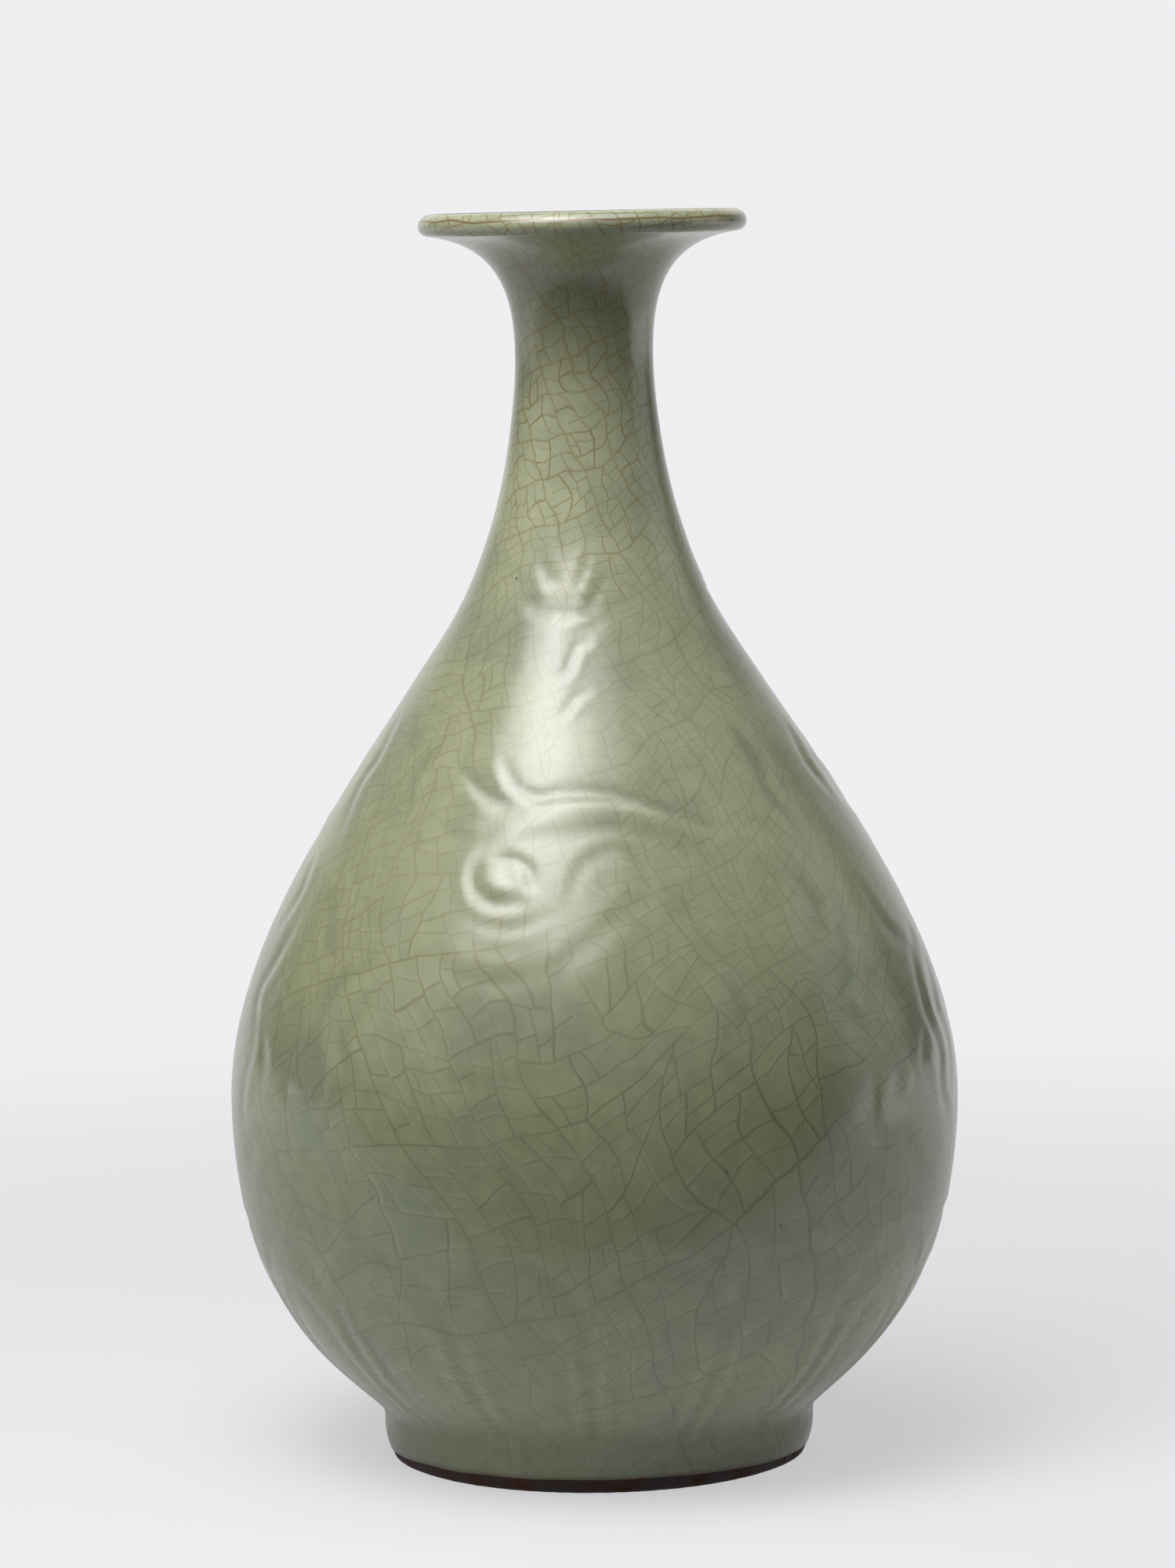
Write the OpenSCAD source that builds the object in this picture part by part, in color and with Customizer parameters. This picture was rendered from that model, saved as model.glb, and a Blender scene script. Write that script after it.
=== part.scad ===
// Pear-shaped bottle vase with a slender neck and a trumpet mouth.
// Stoneware sections are thrown one by one and luted with slip, then coated with celadon glaze.
// The vase stands on Z = 0 and its axis is Z. All lengths are in millimetres.

/* [Foot] */
// Outer diameter of the foot, over the glaze
foot_d = 114.4; // [94:0.2:140]
// Height of the rounded lower edge of the foot
foot_round_h = 9; // [6:0.1:14]
// How far the rounded lower edge draws in, down to the table
foot_undercut = 1.9; // [0.5:0.1:5]
// Height of the upright wall of the foot above its rounded edge
foot_wall_h = 1.7; // [1:0.1:10]
// Size of the hollow crease between foot and body
crease = 2.5; // [1:0.1:5]
// Width of the bare ring that touches the table
contact_w = 7.5; // [4:0.1:14]
// How much wider the foot ring grows on its inner side, from table to base
foot_inner_taper = 1.5; // [0:0.1:5]

/* [Body] */
// Rise of the body out of the foot, in degrees above level
base_rise = 46; // [40:0.5:54]
// Diameter of the belly, over the glaze
belly_d = 193; // [165:0.5:225]
// Height of the widest place of the belly above the table
belly_z = 96; // [80:0.5:120]
// Height from the widest place of the belly to the turn of the shoulder
shoulder_h = 129; // [100:0.5:160]
// Diameter at the turn of the shoulder, where its curve becomes the neck's
shoulder_d = 69; // [58:0.5:90]
// Lean of the wall there, in degrees from upright
shoulder_lean = 28.8; // [22:0.2:36]
// Tightness of the curve where it leaves the foot, as a share of its chord
base_reach = 0.152; // [0.1:0.005:0.3]
// Fullness of the belly below its widest place, as a share of its chord
belly_reach_down = 0.612; // [0.45:0.002:0.7]
// Fullness of the belly above its widest place, as a share of its chord
belly_reach_up = 0.334; // [0.25:0.002:0.45]
// Straightness of the shoulder below the turn, as a share of its chord
shoulder_reach_down = 0.216; // [0.1:0.002:0.35]

/* [Neck and mouth] */
// Height from the turn of the shoulder to the narrowest place of the neck
neck_h = 66; // [50:0.5:90]
// Outer diameter of the neck at its narrowest
neck_d = 36.4; // [30:0.2:46]
// Straightness of the neck above the turn, as a share of its chord
shoulder_reach_up = 0.368; // [0.25:0.002:0.45]
// Straightness of the neck below its narrowest place, as a share of its chord
neck_reach_down = 0.244; // [0.15:0.002:0.4]
// Straightness of the neck above its narrowest place, as a share of its chord
neck_reach_up = 0.405; // [0.3:0.005:0.5]
// Flatness of the trumpet under the lip, as a share of its chord
lip_reach = 0.5; // [0.4:0.005:0.6]
// Height from the narrowest place of the neck to the crown of the lip
mouth_h = 39; // [30:0.5:55]
// Outer diameter of the lip
lip_d = 86.6; // [70:0.2:105]
// Thickness of the rolled lip, over the glaze
lip_t = 5.8; // [5:0.1:8]
// Upward slope of the trumpet where it runs into the lip, in degrees
lip_slope = 7; // [2:1:14]

/* [Walls] */
// Thickness of the stoneware floor above the foot recess
floor_t = 9; // [6:0.1:13]
// Flat of the floor inside, as a share of its width where the wall begins
floor_flat = 0.7; // [0.4:0.02:0.78]
// Thickness of the stoneware wall just above the foot
wall_base = 8; // [6:0.1:10]
// Thickness of the stoneware wall at the belly
wall_belly = 5; // [3.5:0.1:7]
// Thickness of the stoneware wall at the turn of the shoulder
wall_shoulder = 4.5; // [3:0.1:6]
// Thickness of the stoneware wall at the narrowest place of the neck
wall_neck = 3; // [2.2:0.1:4.5]

/* [Glaze] */
// Thickness of the glaze, outside, inside and under the base
glaze_t = 1; // [0.6:0.05:1.4]
// Thickness to which the glaze thins at its wiped lower edge
glaze_edge_t = 0.3; // [0.15:0.05:0.6]
// Height of the wiped lower edge of the glaze above the table
glaze_stop = 3.5; // [1:0.1:5.5]

/* [Luting] */
// Thickness of the slip that joins two sections
slip_t = 1; // [0.4:0.1:1.4]

/* [Hidden] */

$fn = 180;

BARE_FOOT = [0.26, 0.10, 0.06];
STONEWARE = [0.70, 0.68, 0.64];
SLIP = [0.60, 0.58, 0.54];
CELADON = [0.57, 0.61, 0.47];

// Curve steps in each stretch of the outline
foot_steps = 6;
crease_steps = 4;
body_steps = 18;
neck_steps = 14;
mouth_steps = 14;
lip_steps = 12;
floor_steps = 10;

// Radii of the driving diameters
foot_r = foot_d / 2;
bare_foot_r = foot_r - glaze_t;
contact_r = bare_foot_r - foot_undercut;
contact_inner_r = contact_r - contact_w;
foot_inner_r = contact_inner_r - foot_inner_taper;
belly_r = belly_d / 2;
shoulder_r = shoulder_d / 2;
neck_r = neck_d / 2;
lip_round = lip_t / 2;

// Heights above the table of the turn of the shoulder, the narrowest neck and the crown of the lip
shoulder_z = belly_z + shoulder_h;
neck_z = shoulder_z + neck_h;
vase_h = neck_z + mouth_h;

// Level of the joint between foot and body, and of the faces on both sides of its slip
foot_seam_z = foot_round_h + foot_wall_h;
foot_top_z = foot_seam_z - slip_t / 2;
base_z = foot_seam_z + slip_t / 2;
floor_z = base_z + floor_t;

// Directions along the outline at its knots
up = [0, 1];
base_dir = [cos(base_rise), sin(base_rise)];
shoulder_dir = [-sin(shoulder_lean), cos(shoulder_lean)];
lip_dir = [cos(lip_slope), sin(lip_slope)];

// Knots of the outline, as radius and height over the glaze
foot_knot = [foot_r, foot_seam_z];
crease_knot = foot_knot + crease * up;
base_knot = crease_knot + crease * base_dir;
belly_knot = [belly_r, belly_z];
shoulder_knot = [shoulder_r, shoulder_z];
neck_knot = [neck_r, neck_z];
lip_centre = [lip_d / 2 - lip_round, vase_h - lip_round];
lip_knot = lip_centre + lip_round * [lip_dir[1], -lip_dir[0]];

// A cubic curve between two knots, whose handles are shares of the chord
function curve(from, from_dir, from_reach, to, to_dir, to_reach) =
    let (chord = norm(to - from))
    [from, from + chord * from_reach * from_dir, to - chord * to_reach * to_dir, to];

function curve_point(c, t) =
    pow(1 - t, 3) * c[0] + 3 * pow(1 - t, 2) * t * c[1] + 3 * (1 - t) * t * t * c[2] + t * t * t * c[3];

function curve_slope(c, t) =
    pow(1 - t, 2) * (c[1] - c[0]) + 2 * (1 - t) * t * (c[2] - c[1]) + t * t * (c[3] - c[2]);

// A station is a point of the outline, the direction along it and the wall behind it
function station(c, t, wall_from, wall_to) =
    let (slope = curve_slope(c, t))
    [curve_point(c, t), slope / norm(slope), wall_from + (wall_to - wall_from) * t];

function stations(c, steps, wall_from, wall_to, first = 0) =
    [for (i = [first:steps]) station(c, i / steps, wall_from, wall_to)];

// Points of a row of stations, moved square to the outline towards the inside of the vase
function inset(s, depth) = s[0] + depth * [-s[1][1], s[1][0]];
function skin(row, depth) = [for (s = row) inset(s, depth)];
function lining(row) = [for (s = row) inset(s, glaze_t + s[2])];
function cavity(row) = [for (s = row) inset(s, 2 * glaze_t + s[2])];

function backwards(list) = [for (i = [len(list) - 1:-1:0]) list[i]];

// A station moved along the outline, to make room for the slip of a joint
function slide(s, way) = [s[0] + way * s[1], s[1], s[2]];
function trim_start(row) = [for (i = [0:len(row) - 1]) i == 0 ? slide(row[0], slip_t / 2) : row[i]];
function trim_end(row) =
    [for (i = [0:len(row) - 1]) i == len(row) - 1 ? slide(row[i], -slip_t / 2) : row[i]];

crease_curve = [foot_knot, crease_knot - crease / 3 * up, crease_knot + crease / 3 * base_dir, base_knot];
lower_curve = curve(base_knot, base_dir, base_reach, belly_knot, up, belly_reach_down);
upper_curve = curve(belly_knot, up, belly_reach_up, shoulder_knot, shoulder_dir, shoulder_reach_down);
neck_curve = curve(shoulder_knot, shoulder_dir, shoulder_reach_up, neck_knot, up, neck_reach_down);
mouth_curve = curve(neck_knot, up, neck_reach_up, lip_knot, lip_dir, lip_reach);

wall_lip = lip_t - 2 * glaze_t;
crease_row = stations(crease_curve, crease_steps, wall_base, wall_base);
lower_row = stations(lower_curve, body_steps, wall_base, wall_belly, 1);
upper_row = stations(upper_curve, body_steps, wall_belly, wall_shoulder);
neck_row = stations(neck_curve, neck_steps, wall_shoulder, wall_neck);
mouth_row = stations(mouth_curve, mouth_steps, wall_neck, wall_lip, 1);

// The wall inside begins at this station of the lower body, and the floor curves into it
wall_begins = 5;
lined_row = [for (i = [wall_begins:len(lower_row) - 1]) lower_row[i]];
lining_start = inset(lined_row[0], glaze_t + lined_row[0][2]);
lining_dir = lined_row[0][1];
floor_curve = [
    [0, floor_z],
    [floor_flat * lining_start[0], floor_z],
    lining_start - (lining_start[1] - floor_z) / lining_dir[1] * lining_dir,
    lining_start
];
floor_row = [for (i = [0:floor_steps - 1]) station(floor_curve, i / floor_steps, 0, 0)];

// Points of the rolled lip at a given radius, from under the trumpet over to its upper face
function lip_arc(r) =
    [for (i = [0:lip_steps])
        let (a = lip_slope - 90 + 180 * i / lip_steps)
        lip_centre + r * [cos(a), sin(a)]];

// Points of the bare foot's rounded outer edge, from a height up to its upright wall
function foot_edge(from_z) =
    let (low = asin(1 - from_z / foot_round_h))
    [for (i = [0:foot_steps])
        let (q = low * (1 - i / foot_steps))
        [contact_r + (bare_foot_r - contact_r) * cos(q), foot_round_h * (1 - sin(q))]];

// The same edge with the glaze on it, which grows from its thin lower end to its full thickness
function glazed_foot_edge() =
    let (bare = foot_edge(glaze_stop))
    [for (i = [0:foot_steps])
        bare[i] + [glaze_edge_t + (glaze_t - glaze_edge_t) * sin(90 * i / foot_steps), 0]];

module turned(outline) {
    rotate_extrude() polygon(outline);
}

// A ring of slip between two sections, from the outer glaze to the lining
module luting(knot, wall) {
    color(SLIP) turned(concat(
        [for (way = [-slip_t / 2, slip_t / 2]) inset(slide(knot, way), glaze_t)],
        [for (way = [slip_t / 2, -slip_t / 2]) inset(slide(knot, way), glaze_t + wall)]
    ));
}

// Turned foot: bare where it stands, upright where the body sits on it
module foot_ring() {
    color(BARE_FOOT) turned(concat(
        foot_edge(0),
        [[bare_foot_r, foot_top_z], [foot_inner_r, foot_top_z], [contact_inner_r, 0]]
    ));
}

// Slip between the foot and the base of the body
module foot_luting() {
    color(SLIP) turned([
        [foot_inner_r, foot_top_z], [bare_foot_r, foot_top_z],
        [bare_foot_r, base_z], [foot_inner_r, base_z]
    ]);
}

// Thrown bowl from the base to the widest place of the belly
module lower_body() {
    color(STONEWARE) turned(concat(
        [[0, base_z]],
        skin(trim_end(concat(trim_start(crease_row), lower_row)), glaze_t),
        backwards(lining(trim_end(lined_row))),
        backwards(skin(floor_row, 0))
    ));
}

module belly_luting() {
    luting(upper_row[0], wall_belly);
}

// Thrown dome from the belly to the turn of the shoulder
module upper_body() {
    row = trim_end(trim_start(upper_row));
    color(STONEWARE) turned(concat(skin(row, glaze_t), backwards(lining(row))));
}

module shoulder_luting() {
    luting(neck_row[0], wall_shoulder);
}

// Thrown neck that opens into the trumpet mouth and its rolled lip
module neck_and_mouth() {
    row = concat(trim_start(neck_row), mouth_row);
    lip = lip_arc(lip_round - glaze_t);
    color(STONEWARE) turned(concat(
        skin(row, glaze_t),
        [for (i = [1:lip_steps - 1]) lip[i]],
        backwards(lining(row))
    ));
}

// Outer coat, from its wiped edge on the foot up to the crown of the lip
module outer_glaze() {
    row = concat(
        crease_row, lower_row,
        [for (i = [1:body_steps]) upper_row[i]],
        [for (i = [1:neck_steps]) neck_row[i]],
        mouth_row
    );
    lip_outside = lip_arc(lip_round);
    lip_inside = lip_arc(lip_round - glaze_t);
    color(CELADON) turned(concat(
        glazed_foot_edge(),
        skin(row, 0),
        [for (i = [1:lip_steps]) lip_outside[i]],
        [for (i = [lip_steps:-1:1]) lip_inside[i]],
        backwards(skin(row, glaze_t)),
        backwards(foot_edge(glaze_stop))
    ));
}

// Inner coat, swilled over the floor, the wall and the mouth
module inner_glaze() {
    row = concat(
        lined_row,
        [for (i = [1:body_steps]) upper_row[i]],
        [for (i = [1:neck_steps]) neck_row[i]],
        mouth_row
    );
    color(CELADON) turned(concat(
        skin(floor_row, 0), lining(row), backwards(cavity(row)), backwards(skin(floor_row, glaze_t))
    ));
}

// Coat under the base, which runs down the inside of the foot to its wiped edge
module base_glaze() {
    stop_r = contact_inner_r - foot_inner_taper * glaze_stop / foot_top_z;
    color(CELADON) turned([
        [0, base_z - glaze_t], [foot_inner_r - glaze_t, base_z - glaze_t],
        [stop_r - glaze_edge_t, glaze_stop], [stop_r, glaze_stop],
        [foot_inner_r, foot_top_z], [foot_inner_r, base_z], [0, base_z]
    ]);
}

foot_ring();
foot_luting();
lower_body();
belly_luting();
upper_body();
shoulder_luting();
neck_and_mouth();
outer_glaze();
inner_glaze();
base_glaze();
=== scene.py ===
import math

import bpy
import numpy as np
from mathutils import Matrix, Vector, kdtree, noise


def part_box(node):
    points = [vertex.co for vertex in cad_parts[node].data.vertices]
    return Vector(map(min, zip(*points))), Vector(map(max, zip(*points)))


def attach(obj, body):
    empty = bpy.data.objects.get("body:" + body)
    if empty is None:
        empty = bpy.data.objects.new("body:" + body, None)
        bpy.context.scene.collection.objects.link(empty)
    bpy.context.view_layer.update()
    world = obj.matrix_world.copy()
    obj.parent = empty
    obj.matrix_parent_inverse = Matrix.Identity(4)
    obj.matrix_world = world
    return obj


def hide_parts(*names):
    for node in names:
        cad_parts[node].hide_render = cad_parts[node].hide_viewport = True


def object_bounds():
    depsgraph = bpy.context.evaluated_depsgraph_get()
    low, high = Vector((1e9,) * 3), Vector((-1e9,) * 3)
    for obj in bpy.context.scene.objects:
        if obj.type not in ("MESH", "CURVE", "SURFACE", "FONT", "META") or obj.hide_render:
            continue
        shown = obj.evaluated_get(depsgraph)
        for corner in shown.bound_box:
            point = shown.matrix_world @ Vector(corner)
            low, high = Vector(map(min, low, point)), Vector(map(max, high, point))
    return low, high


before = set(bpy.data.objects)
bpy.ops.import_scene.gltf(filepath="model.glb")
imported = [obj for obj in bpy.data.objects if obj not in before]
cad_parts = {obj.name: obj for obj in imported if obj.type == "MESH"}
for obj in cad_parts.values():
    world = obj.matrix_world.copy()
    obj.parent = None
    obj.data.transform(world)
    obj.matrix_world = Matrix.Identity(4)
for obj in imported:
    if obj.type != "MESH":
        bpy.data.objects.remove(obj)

cad_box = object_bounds()
MM = 0.001


# Foot ring: a low ring of iron-bearing stoneware, turned on the wheel and luted under the bowl.
# Its edge is wiped clean of glaze before firing, so it burns dark red-brown where it stands.
bare_foot_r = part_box("foot_ring")[1].x
foot_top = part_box("foot_ring")[1].z
foot_round_h = 9 * MM
foot_undercut = 1.9 * MM
contact_r = bare_foot_r - foot_undercut
contact_inner_r = contact_r - 7.5 * MM
foot_inner_r = contact_inner_r - 1.5 * MM
turning_groove = 0.07 * MM
turning_pitch = 0.9 * MM
edge_wear = 0.5 * MM
clay_grain = 0.09 * MM
coarse_grain, fine_grain = 2.2 * MM, 0.9 * MM
foot_columns = 320
foot_outer_rows, foot_contact_rows, foot_inner_rows = 22, 33, 14


def foot_wall(height):
    """Radius of the bare foot's outer side, which draws in towards the table."""
    drop = np.clip(1 - np.asarray(height) / foot_round_h, 0, 1)
    return contact_r + foot_undercut * np.sqrt(1 - drop * drop)


def turn(name, outline, columns):
    """A turned piece: its outline, as rows of (radius, height), spun once about the axis of the wheel."""
    bpy.ops.object.select_all(action="DESELECT")
    bpy.ops.mesh.primitive_plane_add(size=MM)
    piece = bpy.context.object
    piece.name = name
    bpy.ops.object.mode_set(mode="EDIT")
    bpy.ops.mesh.merge(type="CENTER")
    bpy.ops.transform.translate(value=(outline[0][0], 0, outline[0][1]))
    for way in np.diff(outline, axis=0):
        bpy.ops.mesh.extrude_vertices_move(TRANSFORM_OT_translate={"value": (way[0], 0, way[1])})
    bpy.ops.mesh.select_all(action="SELECT")
    bpy.ops.mesh.spin(steps=columns, angle=math.tau, center=(0, 0, 0), axis=(0, 0, 1))
    bpy.ops.mesh.select_all(action="SELECT")
    bpy.ops.mesh.remove_doubles(threshold=0.001 * MM)
    bpy.ops.mesh.normals_make_consistent(inside=False)
    bpy.ops.object.mode_set(mode="OBJECT")
    return piece


def points_of(piece):
    """The places of a piece's vertices, one row each."""
    flat = np.empty(3 * len(piece.data.vertices))
    piece.data.vertices.foreach_get("co", flat)
    return flat.reshape(-1, 3)


def move_points(piece, places):
    """Puts a piece's vertices at new places."""
    piece.data.vertices.foreach_set("co", places.ravel())
    piece.data.update()


outer_z = np.linspace(foot_top, edge_wear, foot_outer_rows)
outer_side = np.column_stack([foot_wall(outer_z), outer_z])
contact_x = np.linspace(foot_wall(0) - edge_wear, contact_inner_r + edge_wear, foot_contact_rows)
contact_z = turning_groove * (1 - np.cos(math.tau * (contact_x - contact_inner_r) / turning_pitch)) / 2
contact_face = np.column_stack([contact_x, contact_z])
inner_z = np.linspace(edge_wear, foot_top, foot_inner_rows)
inner_x = contact_inner_r + (foot_inner_r - contact_inner_r) * inner_z / foot_top
inner_side = np.column_stack([inner_x, inner_z])
foot_outline = np.vstack([outer_side, contact_face, inner_side, outer_side[:1]])

foot = turn("foot_ring_clay", foot_outline, foot_columns)
places = points_of(foot)
radii = np.hypot(places[:, 0], places[:, 1])
grain = np.array([
    noise.noise(Vector(p) / coarse_grain) + noise.noise(Vector(p) / fine_grain) for p in places
])
inward = clay_grain * (0.5 + 0.5 * grain.clip(-1, 1))
middle_r = (contact_r + contact_inner_r) / 2
joined_z = 0.9 * foot_top
sideways = np.where(places[:, 2] > joined_z, 0, inward * np.sign(radii - middle_r))
places[:, :2] *= (1 - sideways / radii)[:, None]
places[:, 2] += np.where(places[:, 2] < edge_wear / 2, inward, 0)
move_points(foot, places)
bpy.ops.object.shade_smooth_by_angle(angle=math.radians(50))


class Wire:
    """A socket in a material. Sums on it add Math nodes, and add() makes any other node."""

    def __init__(self, tree, socket=None):
        self.tree = tree
        self.socket = socket

    def add(self, kind, settings, inputs, output=0):
        made = self.tree.nodes.new("ShaderNode" + kind)
        for name, setting in settings.items():
            setattr(made, name, setting)
        for name, value in inputs.items():
            if isinstance(value, Wire):
                self.tree.links.new(value.socket, made.inputs[name])
            else:
                made.inputs[name].default_value = value
        return Wire(self.tree, made.outputs[output])

    def math(self, operation, first, second=0.0):
        return self.add("Math", {"operation": operation}, {0: first, 1: second})

    def __add__(self, other):
        return self.math("ADD", self, other)

    def __sub__(self, other):
        return self.math("SUBTRACT", self, other)

    def __rsub__(self, other):
        return self.math("SUBTRACT", other, self)

    def __mul__(self, other):
        return self.math("MULTIPLY", self, other)

    def __truediv__(self, other):
        return self.math("DIVIDE", self, other)

    __radd__ = __add__
    __rmul__ = __mul__

    def floor(self):
        return self.math("FLOOR", self)

    def smaller(self, other):
        return self.math("MINIMUM", self, other)

    def larger(self, other):
        return self.math("MAXIMUM", self, other)

    def ramp(self, low, high):
        """0 where the value is at low, 1 at high, with an easy curve between."""
        limits = {"Value": self, "From Min": low, "From Max": high}
        return self.add("MapRange", {"interpolation_type": "SMOOTHSTEP"}, limits)

    def vector(self, operation, other, output=0):
        return self.add("VectorMath", {"operation": operation}, {0: self, 1: other}, output)

    def scaled(self, by):
        return self.add("VectorMath", {"operation": "SCALE"}, {0: self, "Scale": by})

    def blend(self, low, high):
        """A colour that goes from low to high as this value goes from 0 to 1."""
        return self.add("Mix", {"data_type": "RGBA"}, {0: self, 6: low, 7: high}, 2)

    def cloud(self, size, detail=2.0, output="Fac"):
        """Soft random patches of about this size over the place that this wire holds."""
        return self.add("TexNoise", {}, {"Vector": self, "Scale": 1 / size, "Detail": detail}, output)

    def part(self, axis):
        return self.add("SeparateXYZ", {}, {0: self}, axis)

    def into(self, shader, name):
        self.tree.links.new(self.socket, shader.inputs[name])


def finish(name):
    """A new material: its shader, and the wire of the place on the piece that its patterns start from."""
    material = bpy.data.materials.new(name)
    material.use_nodes = True
    shader = material.node_tree.nodes["Principled BSDF"]
    place = Wire(material.node_tree).add("TexCoord", {}, {}, "Object")
    return material, shader, place


burnt_brown = (0.026, 0.013, 0.009, 1)
rust_red = (0.085, 0.028, 0.015, 1)
iron_black = (0.018, 0.011, 0.009, 1)
bare_clay, bare_shader, place = finish("bare_foot_clay")
patches = place.cloud(7 * MM, 4).ramp(0.35, 0.68)
freckles = place.cloud(0.8 * MM, 2).ramp(0.6, 0.7)
freckles.blend(patches.blend(burnt_brown, rust_red), iron_black).into(bare_shader, "Base Color")
(0.62 + 0.25 * patches).into(bare_shader, "Roughness")
grit = place.cloud(0.7 * MM, 4) + 0.6 * place.cloud(3 * MM, 2)
grit.add("Bump", {}, {"Height": grit, "Distance": 0.25 * MM, "Strength": 0.8}).into(bare_shader, "Normal")
foot.data.materials.append(bare_clay)

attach(foot, "root")
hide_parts("foot_ring")


# Bowl, dome, and neck with its mouth: pale grey stoneware, each thrown on its own and trimmed to fit.
# Glaze covers them inside and outside, so they keep their solids, with the rings that throwing leaves.
thrown_pale = (0.56, 0.54, 0.49, 1)
thrown_grey = (0.42, 0.4, 0.36, 1)
clay_speck = (0.16, 0.11, 0.07, 1)
throwing_pitch = 3.2 * MM
stoneware, stoneware_shader, place = finish("thrown_stoneware")
body_patches = place.cloud(18 * MM, 4).ramp(0.3, 0.7)
body_specks = place.cloud(1.1 * MM, 2).ramp(0.66, 0.72)
body_colour = body_specks.blend(body_patches.blend(thrown_pale, thrown_grey), clay_speck)
body_colour.into(stoneware_shader, "Base Color")
(0.78 + 0.14 * body_patches).into(stoneware_shader, "Roughness")
throwing_phase = place.part("Z") * (math.tau / throwing_pitch) + 3 * place.cloud(30 * MM)
throwing_rings = place.math("SINE", throwing_phase) + place.cloud(1.5 * MM, 4)
ring_bump = place.add("Bump", {}, {"Height": throwing_rings, "Distance": 0.2 * MM, "Strength": 0.6})
ring_bump.into(stoneware_shader, "Normal")


def coat_nodes(names, material):
    """Gives solids that come from the CAD model a material."""
    for name in names:
        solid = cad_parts[name]
        solid.data.materials.clear()
        solid.data.materials.append(material)


coat_nodes(["lower_body", "upper_body", "neck_and_mouth"], stoneware)


# Luting rings: slip, brushed on thick to join foot, bowl, dome and neck, and fired into the wall.
# They lie between the sections, under the glaze, and keep their solids.
slip_pale = (0.5, 0.47, 0.41, 1)
slip_dark = (0.38, 0.34, 0.28, 1)
slip, slip_shader, place = finish("luting_slip")
brushed = place.vector("MULTIPLY", (1, 1, 6)).cloud(9 * MM, 5).ramp(0.3, 0.7)
brushed.blend(slip_dark, slip_pale).into(slip_shader, "Base Color")
(0.95 - 0.15 * brushed).into(slip_shader, "Roughness")
brush_bump = place.add("Bump", {}, {"Height": brushed, "Distance": 0.3 * MM, "Strength": 0.5})
brush_bump.into(slip_shader, "Normal")
coat_nodes(["foot_luting", "belly_luting", "shoulder_luting"], slip)


# Outer glaze: a thick celadon coat, from its wiped edge on the foot over the body to the top of the lip.
# It lies softly over flowers, leaves and petals cut into the clay with a slanted knife.
glaze_t = 1 * MM
glaze_edge_t = 0.3 * MM
glaze_back = 0.98 * glaze_t
foot_r = bare_foot_r + glaze_t
foot_seam = foot_round_h + 1.7 * MM
crease = 2.5 * MM
base_slope = math.radians(46)
belly_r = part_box("outer_glaze")[1].x
belly_z = 96 * MM
shoulder_r = 34.5 * MM
shoulder_z = belly_z + 129 * MM
shoulder_lean = math.radians(28.8)
neck_r = 18.2 * MM
neck_z = shoulder_z + 66 * MM
lip_round = 2.9 * MM
lip_r = 43.3 * MM
lip_slope = math.radians(7)
lip_lean = 0.1
lip_centre = np.array([lip_r - lip_round, cad_box[1].z - lip_round])

upright = np.array([0.0, 1.0])
base_way = np.array([math.cos(base_slope), math.sin(base_slope)])
shoulder_way = np.array([-math.sin(shoulder_lean), math.cos(shoulder_lean)])
lip_way = np.array([math.cos(lip_slope), math.sin(lip_slope)])
crease_knot = np.array([foot_r, foot_seam + crease])
base_knot = crease_knot + crease * base_way
belly_knot = np.array([belly_r, belly_z])
shoulder_knot = np.array([shoulder_r, shoulder_z])
neck_knot = np.array([neck_r, neck_z])
lip_knot = lip_centre + lip_round * np.array([lip_way[1], -lip_way[0]])


def curve(start, start_way, start_reach, end, end_way, end_reach):
    """The handles of the outline between two knots; each reach is a share of the chord."""
    chord = np.linalg.norm(end - start)
    return start, start + chord * start_reach * start_way, end - chord * end_reach * end_way, end


def along(handles, shares):
    """Places on a curve at shares of its way, and the direction of the outline at each."""
    a, b, c, d = handles
    t = np.asarray(shares)[:, None]
    place = (1 - t) ** 3 * a + 3 * (1 - t) ** 2 * t * b + 3 * (1 - t) * t * t * c + t ** 3 * d
    slope = (1 - t) ** 2 * (b - a) + 2 * (1 - t) * t * (c - b) + t * t * (d - c)
    return place, slope / np.linalg.norm(slope, axis=1)[:, None]


def inset(place, way, depth):
    """Outline places moved square to the outline, into the vase."""
    return place + np.reshape(depth, (-1, 1)) * np.column_stack([-way[:, 1], way[:, 0]])


crease_curve = (
    crease_knot - crease * upright, crease_knot - crease / 3 * upright,
    crease_knot + crease / 3 * base_way, base_knot,
)
lower_curve = curve(base_knot, base_way, 0.152, belly_knot, upright, 0.612)
upper_curve = curve(belly_knot, upright, 0.334, shoulder_knot, shoulder_way, 0.216)
neck_curve = curve(shoulder_knot, shoulder_way, 0.368, neck_knot, upright, 0.244)
mouth_curve = curve(neck_knot, upright, 0.405, lip_knot, lip_way, 0.5)

glaze_columns = 360
foot_rows, crease_rows, lower_rows, upper_rows = 9, 6, 42, 108
neck_rows, mouth_rows, lip_rows = 24, 24, 21
glaze_stop = 3.5 * MM

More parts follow.
